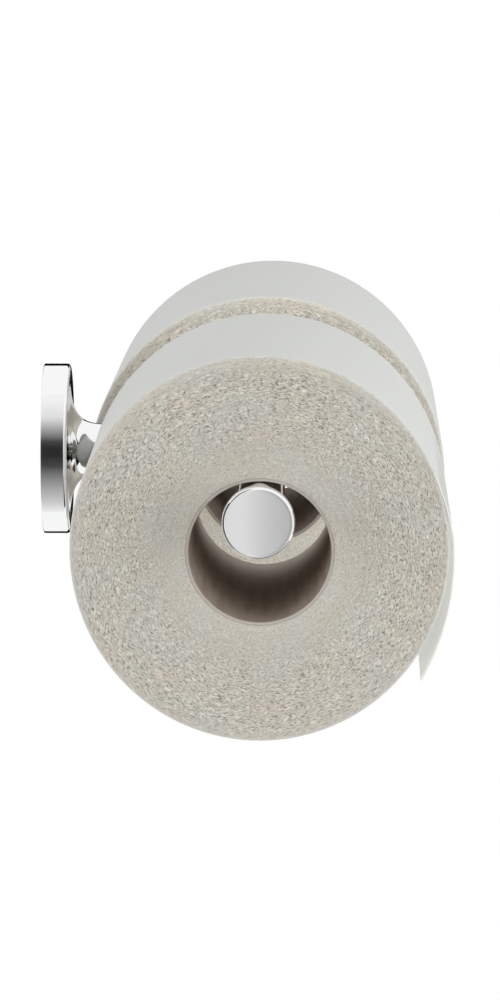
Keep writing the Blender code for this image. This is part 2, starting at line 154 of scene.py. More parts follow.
def piece(name, patches, finish, body, sharp=35.0, shares=None):
    """One closed mesh of grids (points, wrap rows, wrap columns), welded where they meet.

    shares, where given, is one array per grid, kept as the point attribute "share".
    """
    points = np.concatenate([grid.reshape(-1, 3) for grid, _, _ in patches])
    first = 0
    faces = []
    for grid, wrap_rows, wrap_columns in patches:
        rows, columns = grid.shape[:2]
        faces.append(grid_faces(rows, columns, wrap_rows, wrap_columns, first))
        first += rows * columns
    faces = np.concatenate(faces)
    mesh = bpy.data.meshes.new(name)
    mesh.from_pydata(points.tolist(), [], faces.tolist())
    if shares is not None:
        kept = mesh.attributes.new("share", "FLOAT", "POINT")
        kept.data.foreach_set("value", np.concatenate([s.ravel() for s in shares]))
    shape = bmesh.new()
    shape.from_mesh(mesh)
    bmesh.ops.remove_doubles(shape, verts=shape.verts, dist=WELD)
    bmesh.ops.dissolve_degenerate(shape, edges=shape.edges, dist=WELD / 10)
    bmesh.ops.recalc_face_normals(shape, faces=shape.faces)
    shape.to_mesh(mesh)
    shape.free()
    mesh.shade_smooth()
    mesh.set_sharp_from_angle(angle=math.radians(sharp))
    mesh.materials.append(finish)
    obj = bpy.data.objects.new(name, mesh)
    bpy.context.scene.collection.objects.link(obj)
    if body:
        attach(obj, body)
    return obj


def round_neck(radius, height, turns):
    """Points at these radii and heights off the wall, at each turn round the neck's axis."""
    r, h = radius[:, None], height[:, None]
    turn = turns[None, :]
    return np.stack([r * np.cos(turn), -h + 0 * turn, r * np.sin(turn)], axis=-1)


def round_bar(radius, along, turns, centre=(-WALL_TO_BAR, 0.0)):
    """Points at these radii and places along X, at each turn; turn 0 faces the wall."""
    r, x = radius[:, None], along[:, None]
    turn = turns[None, :]
    y = centre[0] + r * np.cos(turn)
    z = centre[1] + r * np.sin(turn)
    return np.stack([x + 0 * turn, y, z], axis=-1)


def fillet(centre_r, centre_h, radius, start, end, steps=8):
    """Profile points (r, h) on a circle about a fillet's centre, from start to end degrees."""
    angle = np.radians(np.linspace(start, end, steps + 1))
    return np.stack([centre_r + radius * np.cos(angle), centre_h + radius * np.sin(angle)], 1)


def full_turn(columns):
    """The angles of this many even steps round, from 0 to one step short of a full turn."""
    return np.arange(columns) * math.tau / columns


def drill(obj, radius, start, end):
    """A round hole through obj from start to end, cut and applied."""
    start, end = Vector(start), Vector(end)
    shape = bmesh.new()
    depth = (end - start).length
    bmesh.ops.create_cone(
        shape, cap_ends=True, segments=48, radius1=radius, radius2=radius, depth=depth
    )
    turn = (end - start).to_track_quat("Z", "Y").to_matrix().to_4x4()
    place = Matrix.Translation((start + end) / 2) @ turn
    bmesh.ops.transform(shape, matrix=place, verts=shape.verts)
    mesh = bpy.data.meshes.new("drill")
    shape.to_mesh(mesh)
    shape.free()
    bit = bpy.data.objects.new("drill", mesh)
    bpy.context.scene.collection.objects.link(bit)
    cut = obj.modifiers.new("hole", "BOOLEAN")
    cut.operation = "DIFFERENCE"
    cut.solver = "EXACT"
    cut.object = bit
    seen = obj.evaluated_get(bpy.context.evaluated_depsgraph_get())
    drilled = bpy.data.meshes.new_from_object(seen)
    obj.modifiers.clear()
    bare, obj.data = obj.data, drilled
    drilled.name = obj.name
    bpy.data.meshes.remove(bare)
    bpy.data.objects.remove(bit)
    bpy.data.meshes.remove(mesh)


# Shader maths


class Value:
    """A shader socket on which Python's operators add Math nodes."""

    def __init__(self, finish, socket):
        self.finish = finish
        self.socket = socket

    def math(self, operation, *others):
        inputs = dict(enumerate((self,) + others))
        return self.finish.add("ShaderNodeMath", {"operation": operation}, inputs)

    def __add__(self, other):
        return self.math("ADD", other)

    def __radd__(self, other):
        return self.math("ADD", other)

    def __sub__(self, other):
        return self.math("SUBTRACT", other)

    def __rsub__(self, other):
        return (self * -1.0).math("ADD", other)

    def __mul__(self, other):
        return self.math("MULTIPLY", other)

    def __truediv__(self, other):
        return self.math("DIVIDE", other)

    def over(self, low, high):
        """0 below low, 1 above high and smooth between them."""
        settings = {"interpolation_type": "SMOOTHSTEP"}
        return self.finish.add("ShaderNodeMapRange", settings, {"Value": self, 1: low, 2: high})



def socket_name(word):
    """The shader's own name of a socket that is written here in lower case."""
    return word.replace("_", " ").title().replace("Ior", "IOR")


class Finish:
    """A material under construction; add is the one way to a node."""

    def __init__(self, name, **constants):
        self.material = bpy.data.materials.new(name)
        self.material.use_nodes = True
        self.tree = self.material.node_tree
        self.shader = self.tree.nodes["Principled BSDF"]
        for word, value in constants.items():
            self.shader.inputs[socket_name(word)].default_value = value

    def add(self, kind, settings=None, inputs=None, out=0):
        """A node of this kind, its settings first and then its inputs, as the chosen output."""
        node = self.tree.nodes.new(kind)
        for word, value in (settings or {}).items():
            if word == "stops":
                ramp = node.color_ramp.elements
                while len(ramp) < len(value):
                    ramp.new(0.5)
                for stop, (place, colour) in zip(ramp, value):
                    stop.position = place
                    stop.color = (*colour, 1.0)
            else:
                setattr(node, word, value)
        for word, value in (inputs or {}).items():
            self.join(value, node.inputs[word])
        return Value(self, node.outputs[out])

    def join(self, value, socket):
        if isinstance(value, Value):
            self.tree.links.new(value.socket, socket)
        elif isinstance(value, tuple) and len(value) == 3 and socket.type == "RGBA":
            socket.default_value = (*value, 1.0)
        else:
            socket.default_value = value

    def place(self):
        """X, Y and Z of the surface, in the object's own metres."""
        here = self.add("ShaderNodeTexCoord", out=3)
        split = self.add("ShaderNodeSeparateXYZ", inputs={0: here}).socket.node
        return tuple(Value(self, socket) for socket in split.outputs)

    def vector(self, x, y, z):
        return self.add("ShaderNodeCombineXYZ", inputs={0: x, 1: y, 2: z})

    def noise(self, vector, scale=1.0, detail=2.0, roughness=0.5, distortion=0.0):
        """Noise from 0 to 1 whose cells are 1 / scale across."""
        inputs = {
            "Vector": vector,
            "Scale": scale,
            "Detail": detail,
            "Roughness": roughness,
            "Distortion": distortion,
        }
        return self.add("ShaderNodeTexNoise", None, inputs)

    def blend(self, share, first, second):
        """The first colour where share is 0 and the second where it is 1."""
        settings = {"data_type": "RGBA", "clamp_factor": True}
        return self.add("ShaderNodeMix", settings, {0: share, 6: first, 7: second}, out=2)

    def shade(self, share, colour):
        """The colour multiplied by a grey of this value."""
        grey = self.vector(share, share, share)
        settings = {"operation": "MULTIPLY"}
        return self.add("ShaderNodeVectorMath", settings, {0: colour, 1: grey})

    def attribute(self, name):
        return self.add("ShaderNodeAttribute", {"attribute_name": name}, out=2)

    def bump(self, height, depth, strength=1.0):
        return self.add(
            "ShaderNodeBump", None, {"Height": height, "Distance": depth, "Strength": strength}
        )

    def mix_shaders(self, share, second):
        """Shows the second shader for this share, and the finish's own for the rest."""
        own = Value(self, self.shader.outputs[0])
        mixed = self.add("ShaderNodeMixShader", None, {0: share, 1: own, 2: second})
        output = self.tree.nodes["Material Output"]
        self.tree.links.new(mixed.socket, output.inputs["Surface"])

    def wear(self, **links):
        """Joins values to the shader's sockets, such as base_color or normal."""
        for word, value in links.items():
            self.join(value, self.shader.inputs[socket_name(word)])
        return self.material


# Finishes


def polished_chrome():
    """Mirror plating: faint clouds of handling and hairline wipes in its roughness."""
    finish = Finish("polished_chrome", metallic=1.0)
    x, y, z = finish.place()
    here = finish.vector(x, y, z)
    clouds = finish.noise(here, scale=60.0, detail=3.0)
    wipes = finish.noise(finish.vector(x * 90.0, y * 2600.0, z * 2600.0), detail=2.0)
    orange_peel = finish.noise(here, scale=260.0, detail=1.0)
    roughness = 0.035 + clouds * 0.03 + wipes.over(0.62, 0.8) * 0.035
    colour = finish.blend(clouds, (0.90, 0.905, 0.91), (0.93, 0.932, 0.935))
    return finish.wear(
        base_color=colour, roughness=roughness, normal=finish.bump(orange_peel, 0.004 * MM)
    )


def zinc_plating():
    """Dull bluish zinc with fine turned rings about the neck's axis."""
    finish = Finish("zinc_plating", metallic=1.0)
    x, y, z = finish.place()
    radius = (x * x + z * z).math("SQRT")
    rings = finish.noise(finish.vector(radius * 5200.0, 0.0, 0.0), detail=2.0)
    spangle = finish.noise(finish.vector(x, y, z), scale=420.0, detail=3.0)
    colour = finish.blend(spangle, (0.50, 0.51, 0.53), (0.66, 0.67, 0.68))
    roughness = 0.26 + rings * 0.16 + spangle * 0.1
    return finish.wear(
        base_color=colour, roughness=roughness, normal=finish.bump(rings, 0.02 * MM, 0.5)
    )


def screw_steel():
    """Grey stainless steel with fine scratches and darker stains in random clouds."""
    finish = Finish("screw_steel", metallic=1.0)
    x, y, z = finish.place()
    grain = finish.noise(finish.vector(x * 900.0, y * 4200.0, z * 900.0), detail=3.0)
    stain = finish.noise(finish.vector(x, y, z), scale=300.0, detail=2.0)
    colour = finish.blend(stain, (0.40, 0.40, 0.41), (0.56, 0.56, 0.57))
    return finish.wear(
        base_color=colour,
        roughness=0.24 + grain * 0.2,
        normal=finish.bump(grain, 0.01 * MM, 0.5),
    )


def roll_polar(finish, centre_y, centre_z):
    """The distance from a roll's axis in millimetres, and the unit direction from it."""
    x, y, z = finish.place()
    off_y = y - centre_y
    off_z = z - centre_z
    radius = (off_y * off_y + off_z * off_z).math("SQRT")
    return x, radius / MM, off_y / radius, off_z / radius


def tissue(
    name,
    centre_y,
    centre_z,
    painted_end_light=1.0,
    painted_inner_light=0.0,
    side=(0.712, 0.724, 0.700),
    lets_through=0.0,
):
    """Wound tissue paper. "share" is 1 on the cut end faces and 0 on the last sheet.

    End face: short dark gaps and pale threads that follow the layers, most in a ring
    outside the middle, and faint warm and cool clouds. The dark gaps are painted shade
    in the hollows between the layers. Side: fine crepe lines along the axis over soft
    fibre clouds. A single sheet lets light through: lets_through is the share of a
    Translucent shader of the same colour. The end level brightens the whole end face
    and the inner level the end face near the core: painted light, for a roll whose end
    face stands in shade.
    """
    finish = Finish(name, roughness=0.92, specular_ior_level=0.2)
    x, radius, toward_y, toward_z = roll_polar(finish, centre_y, centre_z)

    wander = finish.noise(
        finish.vector(toward_y * 9.0, toward_z * 9.0, radius * 0.25 + 61.0), detail=1.0
    )
    ripple = radius + wander * 2.2
    gaps = finish.noise(
        finish.vector(toward_y * 46.0, toward_z * 46.0, ripple * 2.7), detail=3.0, roughness=0.65
    )
    threads = finish.noise(
        finish.vector(toward_y * 33.0, toward_z * 33.0, ripple * 2.1 + 40.0),
        detail=2.0,
        roughness=0.55,
        distortion=0.7,
    )
    layers = finish.noise(
        finish.vector(toward_y * 3.0, toward_z * 3.0, radius * 2.6 + 90.0), detail=2.0
    )
    clouds = finish.noise(
        finish.vector(toward_y * 2.4, toward_z * 2.4, radius * 0.09 + 7.0), detail=2.0
    )
    tints = finish.noise(
        finish.vector(toward_y * 5.5, toward_z * 5.5, radius * 0.16 + 23.0), detail=1.0
    )
    ring = radius.over(27.0, 42.0) * (1.0 - radius.over(54.0, 58.5))
    crowd = 0.45 + ring * 0.55 + (clouds - 0.5) * 0.5
    # Painted shade: the dark gaps stand for shade in the hollows between the paper's layers,
    # where the bump is low.
    dark = (1.0 - gaps.over(0.33, 0.52)) * crowd
    light = threads.over(0.48, 0.66)
    tone = 1.0 - dark * 0.64 + light * 0.32 * (0.6 + ring * 0.6) + (layers - 0.5) * 0.04
    tone = tone + (clouds - 0.5) * 0.05 + radius.over(57.0, 58.6) * 0.07
    tone = tone + (1.0 - radius.over(24.0, 32.0)) * 0.05
    warm = finish.blend(tints.over(0.35, 0.65), (0.492, 0.456, 0.398), (0.480, 0.458, 0.396))
    tinted = finish.blend(clouds.over(0.38, 0.58), (0.478, 0.464, 0.420), warm)
    # Painted light: the inner level lightens the end face near the core and the end level the
    # whole end face.
    inner = 1.0 + (1.0 - radius.over(30.0, 48.0)) * painted_inner_light
    end_colour = finish.shade(tone * painted_end_light * inner, tinted)
    end_height = gaps * 0.8 + threads * 0.6 + layers * 0.15

    crepe = finish.noise(
        finish.vector(x * 60.0, toward_y * 150.0, toward_z * 150.0), detail=2.0
    )
    fibres = finish.noise(
        finish.vector(x * 900.0, toward_y * 52.0, toward_z * 52.0), detail=3.0, roughness=0.65
    )
    drift = finish.noise(finish.vector(x * 9.0, toward_y * 1.3, toward_z * 1.3), detail=2.0)
    side_tone = 0.97 + (crepe - 0.5) * 0.025 + (fibres - 0.5) * 0.03 + (drift - 0.5) * 0.05
    side_colour = finish.shade(side_tone, side)
    side_height = crepe * 0.5 + fibres * 0.25

    share = finish.attribute("share")
    colour = finish.blend(share, side_colour, end_colour)
    height = side_height * 0.06 * (1.0 - share) + end_height * 0.24 * share
    if lets_through:
        behind = finish.add("ShaderNodeBsdfTranslucent", None, {"Color": colour})
        finish.mix_shaders(lets_through, behind)
    return finish.wear(base_color=colour, normal=finish.bump(height, 1.0 * MM, 0.7))


def kraft_card(name, centre_y, centre_z):
    """Grey-brown cardboard: long fibres round the tube, flecks and paler rubbed ends, and painted
    light inside the front core, paler towards its far end.
    """
    finish = Finish(name, roughness=0.88, specular_ior_level=0.25)
    x, radius, toward_y, toward_z = roll_polar(finish, centre_y, centre_z)
    fibres = finish.noise(
        finish.vector(x * 1500.0, toward_y * 16.0, toward_z * 16.0), detail=4.0, roughness=0.65
    )
    streaks = finish.noise(
        finish.vector(x * 35.0, toward_y * 9.0, toward_z * 9.0), detail=3.0, distortion=0.4
    )
    flecks = finish.noise(
        finish.vector(x * 700.0, toward_y * 24.0, toward_z * 24.0), detail=1.0
    )
    base = finish.blend(streaks.over(0.3, 0.7), (0.330, 0.258, 0.205), (0.390, 0.322, 0.268))
    marked = finish.blend(flecks.over(0.66, 0.76) * 0.5, base, (0.14, 0.11, 0.085))
    # Painted light: the front core's inside is painted paler from x = -62 mm to its far end at
    # -11 mm, for light coming in from the gap between the rolls; the rear core, past x = 10 mm,
    # gets none.
    painted_gap_light = x.over(-62.0 * MM, -11.0 * MM) * (1.0 - x.over(0.0, 10.0 * MM))
    pale = finish.blend(painted_gap_light * painted_gap_light, marked, (0.86, 0.80, 0.74))
    rubbed = finish.blend(finish.attribute("share"), pale, (0.46, 0.43, 0.385))
    colour = finish.shade(0.94 + fibres * 0.12, rubbed)
    return finish.wear(base_color=colour, normal=finish.bump(fibres, 0.06 * MM, 0.6))


# Holder


def rosette(chrome):
    """A profile of (radius, height) turned round the neck's axis.

    From the back edge: rim, fillet, the trumpet as the superellipse
    r = r0 - (r0 - r1) (1 - s^n)^(1/n), h = h1 - (h1 - h0) s, s = cos(t)^(2/n),
    then the tapering neck to its rounded end, and back down inside.
    """
    t = np.radians(np.linspace(0.0, 90.0, 65))
    s = np.cos(t) ** (2.0 / FLARE_EXPONENT)
    s[-1] = 0.0
    rise = (1.0 - s**FLARE_EXPONENT) ** (1.0 / FLARE_EXPONENT)
    start_h = RIM_THICK + FACE_RISE
    flare = np.stack(
        [
            FLARE_START_R - (FLARE_START_R - FLARE_END_R) * rise,
            FLARE_END_H - (FLARE_END_H - start_h) * s,
        ],
        axis=1,
    )
    neck_end_h = WALL_TO_BAR - BOSS_REACH
    cup_r = ROSETTE_R - RIM_WALL
    neck = np.linspace(flare[-1], (NECK_END_R, neck_end_h - NECK_END_ROUND), 12)[1:]
    inside = [
        (NECK_END_R - NECK_END_ROUND, neck_end_h),
        (BOLT_HOLE_R, neck_end_h),
        (BOLT_HOLE_R, BOLT_SEAT_H),
        (WASHER_HOLE_R, BOLT_SEAT_H),
        (WASHER_HOLE_R, CUP_H),
        (cup_r, CUP_H),
        (cup_r, 0.0),
    ]
    back = RIM_BACK_ROUND
    profile = np.concatenate([
        fillet(ROSETTE_R - back, back, back, -90.0, 0.0, 5),
        np.array([(ROSETTE_R, back + HOLD), (ROSETTE_R, RIM_THICK - RIM_FILLET - HOLD)]),
        fillet(ROSETTE_R - RIM_FILLET, RIM_THICK - RIM_FILLET, RIM_FILLET, 0.0, 90.0, 10),
        np.array([(ROSETTE_R - RIM_FILLET - HOLD, RIM_THICK)]),
        flare,
        neck,
        np.array(inside),
    ])
    grid = round_neck(profile[:, 0], profile[:, 1], full_turn(256))
    obj = piece("rosette_with_neck", [(grid, True, True)], chrome, "holder")
    drill(obj, GRUB_HOLE_R, (0.0, -GRUB_H, -cup_r + 1 * MM), (0.0, -GRUB_H, -ROSETTE_R - 1 * MM))
    low, high = neck_end_h - PIN_HALF, neck_end_h + 1 * MM
    drill(obj, PIN_HOLE_R, (PIN_OFFSET, -low, 0.0), (PIN_OFFSET, -high, 0.0))
    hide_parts("rosette")
    return obj


def boss_rows(turns, steps):
    """The boss's fillet at each turn round the neck, as x, z and reach from the bar's axis.

    In each half-plane it is the quadratic curve (1-t)^2 A + 2t(1-t) C + t^2 B: A is the
    boss's rim, B lies on the bar at the foot ellipse, and C is under A on B's tangent.
    """
    along, across = np.cos(turns), np.sin(turns)
    foot_width = BAR_R * BOSS_FOOT_WIDTH_SHARE
    foot = 1.0 / np.hypot(along / BOSS_FOOT_LENGTH, across / foot_width)
    foot_reach = np.sqrt(BAR_R**2 - (foot * across) ** 2)
    slope = -foot * across**2 / foot_reach
    rim_reach = BOSS_REACH - NECK_END_ROUND
    corner = np.minimum(foot_reach - slope * (foot - NECK_END_R), rim_reach)
    t = np.linspace(0.0, 1.0, steps + 1)[:, None]
    start, middle, end = (1 - t) ** 2, 2 * t * (1 - t), t**2
    radius = (start + middle) * NECK_END_R + end * foot
    reach = start * rim_reach + middle * corner + end * foot_reach
    return radius * along, radius * across, reach, foot


def crossbar(chrome):
    """One skin: the boss grows out of a patch of the bar's wall side without a seam.

    The patch runs from the boss's foot ellipse to the rectangle |x| < BOSS_PATCH_HALF,
    |turn| < 90 degrees, straight in (x, turn). The bar's ends and its room side are
    turned grids with the same columns.
    """
    half, across, along_steps = 64, 40, 24
    side = np.linspace(-math.pi / 2, math.pi / 2, half + 1)
    length = np.linspace(-BOSS_PATCH_HALF, BOSS_PATCH_HALF, across + 1)
    border_x = np.concatenate([
        np.full(half, BOSS_PATCH_HALF),
        length[:0:-1],
        np.full(half, -BOSS_PATCH_HALF),
        length[:-1],
    ])
    border_turn = np.concatenate([
        side[:-1],
        np.full(across, math.pi / 2),
        side[:0:-1],
        np.full(across, -math.pi / 2),
    ])
    turns = np.arctan2(border_turn / (math.pi / 2), border_x / BOSS_PATCH_HALF)
    x, z, reach, foot = boss_rows(turns, along_steps)
    top = [
        (0.0, BOSS_REACH - BOSS_HOLE_DEPTH),
        (BOLT_HOLE_R, BOSS_REACH - BOSS_HOLE_DEPTH),
        (BOLT_HOLE_R, BOSS_REACH),
        (NECK_END_R - NECK_END_ROUND, BOSS_REACH),
    ]
    top_r = np.array([r for r, _ in top])[:, None]
    top_reach = np.array([h for _, h in top])[:, None] + 0 * turns
    share = np.linspace(0.0, 1.0, 11)[1:, None]
    foot_x = foot * np.cos(turns)
    foot_turn = np.arcsin(np.clip(foot * np.sin(turns) / BAR_R, -1.0, 1.0))
    patch_x = foot_x + (border_x - foot_x) * share
    patch_turn = foot_turn + (border_turn - foot_turn) * share
    all_x = np.concatenate([top_r * np.cos(turns), x, patch_x])
    all_z = np.concatenate([top_r * np.sin(turns), z, BAR_R * np.sin(patch_turn)])
    all_reach = np.concatenate([top_reach, reach, BAR_R * np.cos(patch_turn)])
    boss = np.stack([all_x, all_reach - WALL_TO_BAR, all_z], axis=-1)

    room_side = np.linspace(math.pi / 2, 3 * math.pi / 2, half + 1)
    back = round_bar(np.full(across + 1, BAR_R), length, room_side)
    around = np.concatenate([side[:-1], room_side[:-1]])
    round_end = fillet(BAR_R - BAR_END_ROUND, -BAR_HALF + BAR_END_ROUND, BAR_END_ROUND, -90, 0, 5)
    end = np.concatenate([
        [(0.0, -STUD_HOLE_END), (STUD_HOLE_R, -STUD_HOLE_END), (STUD_HOLE_R, -BAR_HALF)],
        round_end,
        np.linspace(round_end[-1], (BAR_R, -BOSS_PATCH_HALF), 20)[1:],
    ])
    near = round_bar(end[:, 0], end[:, 1], around)
    far = round_bar(end[:, 0], -end[:, 1], around)
    patches = [(boss, False, True), (back, False, False), (near, False, True), (far, False, True)]
    obj = piece("crossbar_with_boss", patches, chrome, "holder")
    top_h = WALL_TO_BAR - BOSS_REACH
    drill(
        obj,
        PIN_HOLE_R,
        (PIN_OFFSET, -top_h + 1 * MM, 0.0),
        (PIN_OFFSET, -top_h - PIN_HALF, 0.0),
    )
    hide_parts("crossbar")
    return obj


def end_cap(word, side, chrome):
    """A disc turned round the bar's axis, with a rolled edge and a flat face."""
    hole_r = STUD_HOLE_R
    crown = np.linspace(CAP_R - CAP_FILLET, 0.0, 13)[1:]
    face = np.stack([crown, np.full(12, CAP_THICK)], axis=1)
    profile = np.concatenate([
        [(0.0, CAP_HOLE_DEPTH), (hole_r, CAP_HOLE_DEPTH), (hole_r, 0.0)],
        fillet(CAP_R - CAP_BACK_FILLET, CAP_BACK_FILLET, CAP_BACK_FILLET, -90.0, 0.0, 6),
        fillet(CAP_R - CAP_FILLET, CAP_THICK - CAP_FILLET, CAP_FILLET, 0.0, 90.0, 12),
        face,
    ])
    grid = round_bar(profile[:, 0], side * (CAP_BACK_X + profile[:, 1]), full_turn(192))
    obj = piece(f"cap_{word}", [(grid, False, True)], chrome, "holder")
    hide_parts(f"end_cap_{word}")
    return obj


# Rolls


def around_roll(along, radius, turn, middle=0.0, ends=ROUND_ENDS, reach=1.0):
    """A roll's points: turn counts up from the room side, along is the place on X.

    Its shape blends from its near end's to its far end's, and with reach from a round
    bore (0) to its outside (1): y = -r w cos(turn) - room side, z = r h sin(turn) + up.
    """
    share = (along - middle) / ROLL_WIDTH + 0.5
    wide, high, room_side, up = (near + (far - near) * share for near, far in zip(*ends))
    across = radius * (1.0 + (wide - 1.0) * reach) * np.cos(turn) + room_side * reach
    rise = radius * (1.0 + (high - 1.0) * reach) * np.sin(turn) + up * reach
    return np.stack([along + 0 * across, -WALL_TO_BAR - across, ROLL_AXIS_Z + rise], axis=-1)


def core(word, middle, card):
    """A spiral-wound tube on a skewed grid, so that the strip's edge is one crisp column.

    Column j at place x stands at turn 2 pi (j / n + x / pitch). The inside grows from
    one edge of the strip to the other by CORE_SEAM_STEP, and its lips are rounded.
    """
    half = ROLL_WIDTH / 2
    columns = 97
    share = np.linspace(0.0, 1.0, columns)[None, :]
    lip = CORE_EDGE_ROUND
    bend = np.radians(np.linspace(0.0, 90.0, 5))[::-1]
    start = -half + lip * (1 - np.sin(bend))
    first = -half + 3 * lip
    middle_x = np.linspace(first, -first, 60)
    x_in = np.concatenate([start[::-1], middle_x, -start])
    swell_start = lip * (1 - np.cos(bend))
    swell = np.concatenate([swell_start[::-1], np.zeros(60), swell_start])
    rubbed = np.concatenate([np.ones(5), np.zeros(60), np.ones(5)])
    seam = CORE_SEAM_STEP * (share - 1.0) * (rubbed[:, None] == 0)
    inner = CORE_IN_R + swell[:, None] + seam
    outer = CORE_IN_R + CORE_WALL - swell[:, None] + 0 * share
    along = np.concatenate([x_in, x_in[::-1]])[:, None]
    radius = np.concatenate([inner, outer[::-1]])
    turn = math.tau * (share + along / CORE_SEAM_PITCH)
    grid = around_roll(middle + along, radius, turn)
    shares = [np.concatenate([rubbed, rubbed])[:, None] + 0 * turn]
    name, body = f"{word}_card_core", f"{word}_roll_core"
    obj = piece(name, [(grid, True, True)], card, body, 35.0, shares)
    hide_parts(f"{word}_core")
    return obj


def layer_relief(rng, rings, columns, radius):
    """How far the paper's edges stand out of the end face, in metres.

    Seeded noise averaged along each layer, so that it runs in short arcs, plus slow
    waves in the radius whose phase drifts round the roll.
    """
    rough = rng.standard_normal((rings, columns))
    rough = sum(np.roll(rough, shift, axis=1) for shift in range(-1, 2)) / math.sqrt(3)
    rough = (rough + 0.5 * np.roll(rough, 1, axis=0)) / 1.12
    turn = full_turn(columns)[None, :]
    slow = np.zeros((rings, columns))
    for cycles, strength in ((190.0, 0.05), (420.0, 0.04), (900.0, 0.03)):
        depth = rng.uniform(0.4, 1.2)
        drift = depth * np.sin(rng.integers(1, 4) * turn + rng.uniform(0, math.tau))
        phase = math.tau * cycles * radius[:, None] + drift + rng.uniform(0, 6)
        slow += strength * np.sin(phase)
    return (0.06 * rough + slow) * MM


def winding(middle, step_turn, ends, seed):
    """The wound paper: its bore, end faces, rounded edges and last sheet in one skin.

    From the step the outside grows by one sheet in a full turn. Between bore and
    outside the radius is stretched evenly, and layer_relief moves the end faces along X.
    """
    rng = np.random.default_rng(seed)
    half = ROLL_WIDTH / 2
    columns, rings = 400, 100
    turn = step_turn - math.tau * np.linspace(0.0, 1.0, columns + 1)[None, :]
    outside = ROLL_R - SHEET_STEP * (1.0 - np.linspace(0.0, 1.0, columns + 1)[None, :])
    bend = np.radians(np.linspace(0.0, 90.0, 7))
    reach = np.linspace(0.0, 1.0, rings)
    place = BORE_R + (ROLL_R - BORE_R) * reach
    grids = []
    shares = []
    fade = np.clip(np.minimum(reach / 0.03, (1.0 - reach) / 0.02), 0.0, 1.0)[:, None]

    for side in (-1.0, 1.0):
        relief = layer_relief(rng, rings, columns, place)
        relief = np.hstack([relief, relief[:, :1]]) * fade
        edge = outside - ROLL_EDGE_FILLET
        radius = BORE_R + (edge - BORE_R) * reach[:, None]
        along = side * (half + relief - FACE_INSET)
        face = around_roll(middle + along, radius, turn, middle, ends, reach[:, None])
        lip_r = edge + ROLL_EDGE_FILLET * np.sin(bend[1:])[:, None]
        inset = FACE_INSET + ROLL_EDGE_FILLET * (1.0 - np.cos(bend[1:]))[:, None]
        lip_x = side * (half - inset + 0 * turn)
        lip = around_roll(middle + lip_x, lip_r, turn + 0 * lip_r, middle, ends)
        grids.append((np.concatenate([face, lip]), False, False))
        lip_share = np.clip(1.0 - bend[1:] / bend[-1] * 1.1, 0.0, 1.0)
        shares.append(np.concatenate([np.ones(rings), lip_share])[:, None] + 0 * turn)
    flat = half - FACE_INSET - ROLL_EDGE_FILLET
    along = middle + np.linspace(-flat, flat, 16)[:, None]
    last_sheet = around_roll(along, outside + 0 * along, turn + 0 * along, middle, ends)
    grids.append((last_sheet, False, False))
    shares.append(np.zeros((16, columns + 1)))
    bore = np.linspace(-half + FACE_INSET, half - FACE_INSET, 6)[:, None]
    grids.append((around_roll(middle + bore, BORE_R + 0 * turn, turn + 0 * bore), False, False))
    shares.append(np.ones((6, columns + 1)))
    return grids, shares


def wound_paper(word, middle, step_turn, ends, paper, seed):
    """One roll's winding, in place of its plain solid. Its last sheet ends at step_turn."""
    grids, shares = winding(middle, step_turn, ends, seed)
    closed = [(points, False, True) for points, _, _ in grids]
    obj = piece(
        f"{word}_wound_paper", closed, paper, f"{word}_roll_paper", 50.0, shares
    )
    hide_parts(f"{word}_winding")
    return obj


def loose_tail(paper):
    """The sheet's loose end: it leaves the roll at the root and hangs on the room side.

    Its outside stands at ROLL_R + TAIL_LIFT s^TAIL_CURL from the roll's centre, s from
    0 at the root to 1 at the torn edge, whose teeth shorten s by up to a few hundredths.
    Over its first TAIL_FREE_SHARE it goes from the winding's ellipses to its own.
    """
    rng = np.random.default_rng(11)
    half = ROLL_WIDTH / 2 - FACE_INSET
    across = np.linspace(-half, half, 401)
    teeth = TOOTH_DEPTH * np.abs(np.mod(across / TOOTH_PITCH, 1.0) * 2.0 - 1.0) ** 2
    rough = rng.standard_normal(across.size + 8)
    ragged = np.convolve(rough, np.ones(9) / 9, "valid") * RAGGED_DEPTH
    fibres = rng.uniform(0.0, 1.0, across.size) * FIBRE_DEPTH
    torn = np.clip(teeth + ragged + fibres, 0.0, TORN_DEPTH)
    steps = np.linspace(-0.06, 1.0, 72)[:, None]
    length = (TAIL_ROOT - TAIL_TIP) * (ROLL_R + TAIL_LIFT)
    s = steps - (torn / length)[None, :] * np.clip(steps * 6.0 - 5.0, 0.0, 1.0)
    loose = np.clip(s, 0.0, 1.0)
    sway = TAIL_SWAY * np.sin(across / half * 2.2 + 0.7)[None, :] * loose
    root = TAIL_TUCK * np.minimum(s, 0.0)
    lift = root + TAIL_LIFT * loose**TAIL_CURL + sway * loose
    turn = TAIL_ROOT + (TAIL_TIP - TAIL_ROOT) * s
    outer = ROLL_R + lift
    along = FRONT_ROLL_X + across[None, :]
    free = np.clip(s / TAIL_FREE_SHARE, 0.0, 1.0)
    free = (free * free * (3.0 - 2.0 * free))[..., None]
    outside, inside = (
        around_roll(along, radius, turn, FRONT_ROLL_X, FRONT_ENDS) * (1.0 - free)
        + around_roll(along, radius, turn, FRONT_ROLL_X, TAIL_ENDS) * free
        for radius in (outer, outer - TAIL_THICK)
    )
    ring = np.concatenate([outside, inside[:, ::-1]], axis=1)
    ends = [np.stack([outside[row], inside[row]]) for row in (0, -1)]
    patches = [(ring, False, True)] + [(end, False, False) for end in ends]
    shares = [np.zeros(grid.shape[:2]) for grid, _, _ in patches]
    obj = piece("front_loose_tail", patches, paper, "front_roll_paper", 60.0, shares)
    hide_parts("front_tail")
    return obj


# Studio


CAMERA_PLACE = (-1.77388, -0.09594, 0.28493)
CAMERA_YAW = math.radians(0.9478)
CAMERA_PITCH = math.radians(9.6535)
FOCAL_SHARE = 5.5432
SENSOR = 36.0

